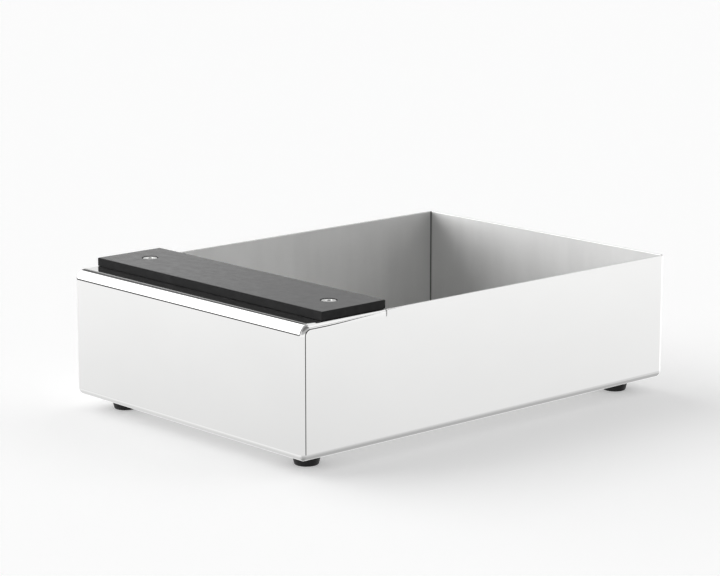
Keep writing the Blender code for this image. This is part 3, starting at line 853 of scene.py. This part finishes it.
domeNutSettings = {
    "across": 0.0055, "hexHeight": 0.0026, "chamfer": 0.5,
    "topShare": 0.98, "faceShare": 0.97, "cornerGap": 0.00005,
    "dome": 0.00255, "domeEnd": 84, "domeSteps": 14,
    "waist": 0.00012, "waistHeight": 0.0001, "flare": 0.00005,
    "bore": 0.00165, "lead": 0.0002, "boreTop": 0.0046, "drill": 0.0008,
}


def domeNutRows(s, low, high):
    # a round dome on a chamfered hexagon, and the blind bore
    hexagon = hexRadius(s["across"])
    flat, dome, bore = s["across"] / 2, s["dome"], s["bore"]
    cut = (hexagon - flat) * s["chamfer"]
    shoulder = low.z + s["hexHeight"]
    rise = high.z - shoulder
    boreTop = low.z + s["boreTop"]
    rows = []
    for turn in np.radians(np.linspace(0, s["domeEnd"], s["domeSteps"] + 1)):
        rows.append((dome * math.sin(turn), shoulder + rise * math.cos(turn)))
    rows += [(dome - s["waist"], shoulder + s["waistHeight"]), (dome + s["flare"], shoulder),
             (flat * s["topShare"], shoulder), (hexagon, shoulder - cut - s["cornerGap"]),
             (hexagon, low.z + cut + s["cornerGap"]), (flat * s["faceShare"], low.z),
             (bore + s["lead"], low.z), (bore, low.z + s["lead"]),
             (bore, boreTop - s["drill"]), (0, boreTop)]
    return rows


for end in ("front", "back"):
    for side in ("left", "right"):
        corner = end + "_" + side
        label = end.capitalize() + side.capitalize()
        washer = "foot_washer_" + corner
        fitted = dict(footSettings, ledge=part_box(washer)[1].z + footSettings["washerGap"])
        placeTurned("foot" + label, "foot_" + corner, footRows, fitted, "foot")
        placeTurned("footWasher" + label, washer, washerRows, footWasherSettings)
        placeTurned("footScrew" + label, "foot_screw_" + corner, footScrewRows,
                    footScrewSettings)
        placeTurned("domeNut" + label, "foot_nut_" + corner, domeNutRows, domeNutSettings)
print("feet made")


# Studio: a pale floor, a pale room with brighter sheets and dark gaps between them, and the camera

roomSettings = {
    # grey of the room by elevation in degrees, before its sheets and gaps
    "tones": [(-90, 0.30), (-45, 0.50), (-22, 0.76), (-15.5, 0.89), (-11, 1.12), (-9, 1.14),
              (4, 0.98), (12, 0.9), (20, 0.85), (50, 0.54), (90, 0.36)],
    "toneLimit": 1.4,  # the tones are divided by this for the ramp, which stops at 1, and multiplied again
    # parts of the room: from and to in azimuth (from the front towards +X), from and to in elevation, the soft
    # edge of both, and the gain there
    "parts": [
        ((-113, -15), (34, 60), (4.0, 3.0), 3.0),
        ((-96, -15), (3, 34), (9.0, 3.0), 2.8),
        ((-142, -132), (0, 17), (5.0, 2.0), 0.7),
        ((-131, -100), (17.5, 25), (1.5, 1.0), 0.5),
        ((-24, -6), (-4, 62), (2.0, 3.0), 0.08),
        ((131, 150), (2, 9), (3.0, 3.0), 1.6),
        ((112, 130), (10, 24), (4.0, 3.0), 1.1),
        ((154, 180), (4, 30), (5.0, 4.0), 0.4),
        ((131, 150), (12, 28), (3.0, 4.0), 0.95),
        ((131, 180), (32, 60), (6.0, 4.0), 1.9),
        ((-180, -138), (38, 60), (6.0, 4.0), 1.8),
        ((-140, 0), (-60, -20), (20.0, 3.0), 1.4),
        ((26, 118), (6, 32), (12.0, 5.0), 0.6),
        ((20, 125), (34, 75), (6.0, 4.0), 0.4),
        ((146, 180), (-30, 0), (3.0, 2.0), 1.3),
        ((-180, -150), (-30, 0), (3.0, 2.0), 1.3),
        ((-115, -22), (-9.2, -3.0), (3.0, 0.5), 0.03),
        ((97.5, 130.3), (-9.3, 6.5), (1.1, 0.7), 0.05),
        ((97.5, 116), (-17.5, -3.0), (1.2, 1.0), 0.03),
        ((-129, -100), (27, 37), (2.0, 0.7), 0.1),
        ((-165, -133), (30, 38), (2.0, 2.0), 0.7),
        ((134, 162), (36, 41), (3.0, 1.0), 0.85),
    ],
    "floorColor": 0.86, "floorLift": 0.28, "floorSize": 8.0,
}
cameraSettings = {
    "place": (1.079155, -0.985264, 0.374509), "yaw": 47.9171, "pitch": 11.9109,
    "lens": 128.0125, "sensor": 36, "clipEnd": 50,
}


def softBox(tree, value, low, high, edge):
    # 1 between the two values, falling to 0 over the edge's width outside them
    def step(start, end, first, last):
        ends = {"From Min": start, "From Max": end, "To Min": first, "To Max": last}
        node = addNode(tree, "ShaderNodeMapRange", {"Value": value, **ends}, interpolation_type="SMOOTHSTEP")
        return node.outputs["Result"]

    return multiply(tree, step(low - edge, low, 0.0, 1.0), step(high, high + edge, 1.0, 0.0))


def makeRoom(s):
    # the camera sees plain white, and all else the room: tone by elevation times the gain of each part
    world = bpy.data.worlds.new("paleRoom")
    bpy.context.scene.world = world
    world.use_nodes = True
    tree = world.node_tree
    tree.nodes.clear()
    direction = addNode(tree, "ShaderNodeTexCoord").outputs["Generated"]
    parts = addNode(tree, "ShaderNodeSeparateXYZ", {"Vector": direction})
    forward = multiply(tree, parts.outputs["Y"], -1.0)
    turned = addNode(tree, "ShaderNodeMath", {0: parts.outputs["X"], 1: forward}, operation="ARCTAN2")
    raised = addNode(tree, "ShaderNodeMath", {0: parts.outputs["Z"]}, operation="ARCSINE")
    azimuth, elevation = (
        addNode(tree, "ShaderNodeMath", {0: angle.outputs[0]}, operation="DEGREES").outputs[0]
        for angle in (turned, raised)
    )
    share = spread(tree, elevation, 0.0, 1.0, {"From Min": -90.0, "From Max": 90.0})
    ramp = addNode(tree, "ShaderNodeValToRGB", {"Fac": share})
    stops = ramp.color_ramp.elements
    for number, (angle, grey) in enumerate(s["tones"]):
        position = (angle + 90) / 180
        stop = stops[number] if number < len(stops) else stops.new(position)
        stop.position = position
        stop.color = (*[grey / s["toneLimit"]] * 3, 1)
    tone = multiply(tree, ramp.outputs["Color"], s["toneLimit"])
    for azimuths, elevations, edges, partGain in s["parts"]:
        wide = softBox(tree, azimuth, *azimuths, edges[0])
        tall = softBox(tree, elevation, *elevations, edges[1])
        change = {0: multiply(tree, wide, tall), 1: partGain - 1, 2: 1.0}
        gain = addNode(tree, "ShaderNodeMath", change, operation="MULTIPLY_ADD").outputs[0]
        tone = multiply(tree, tone, gain)
    seen = addNode(tree, "ShaderNodeLightPath").outputs["Is Camera Ray"]
    final = addNode(tree, "ShaderNodeMix", {0: seen, 2: tone, 3: 1.0}, data_type="FLOAT")
    light = addNode(tree, "ShaderNodeBackground", {"Color": final.outputs[0], "Strength": 1.0})
    addNode(tree, "ShaderNodeOutputWorld", {"Surface": light.outputs["Background"]})


def makeFloor(s):
    # pale matt sheet; the camera sees it lifted to white where nothing shades it, and the mirror walls don't
    # show it, because the room's low tones stand for it there
    half = s["floorSize"] / 2
    mesh = bpy.data.meshes.new("paleFloor")
    corners = [(-half, -half, 0), (half, -half, 0), (half, half, 0), (-half, half, 0)]
    mesh.from_pydata(corners, [], [(0, 1, 2, 3)])
    floor = bpy.data.objects.new("paleFloor", mesh)
    bpy.context.scene.collection.objects.link(floor)
    material = bpy.data.materials.new("paleFloor")
    material.use_nodes = True
    tree = material.node_tree
    tree.nodes.clear()
    paper = addNode(tree, "ShaderNodeBsdfDiffuse", {"Color": (s["floorColor"],) * 3 + (1,)})
    seen = addNode(tree, "ShaderNodeLightPath").outputs["Is Camera Ray"]
    amount = multiply(tree, seen, s["floorLift"])
    lift = addNode(tree, "ShaderNodeEmission", {"Color": (1, 1, 1, 1), "Strength": amount})
    both = addNode(tree, "ShaderNodeAddShader", {0: paper.outputs[0], 1: lift.outputs[0]})
    addNode(tree, "ShaderNodeOutputMaterial", {"Surface": both.outputs[0]})
    mesh.materials.append(material)
    floor.visible_glossy = False


def makeCamera(s):
    data = bpy.data.cameras.new("viewpoint")
    data.sensor_width = s["sensor"]
    data.lens = s["lens"]
    data.clip_end = s["clipEnd"]
    camera = bpy.data.objects.new("viewpoint", data)
    bpy.context.scene.collection.objects.link(camera)
    camera.location = s["place"]
    camera.rotation_euler = (math.radians(90 - s["pitch"]), 0, math.radians(s["yaw"]))
    bpy.context.scene.camera = camera


makeRoom(roomSettings)
makeFloor(roomSettings)
makeCamera(cameraSettings)
bpy.context.scene.view_settings.view_transform = "Standard"
print("studio made")
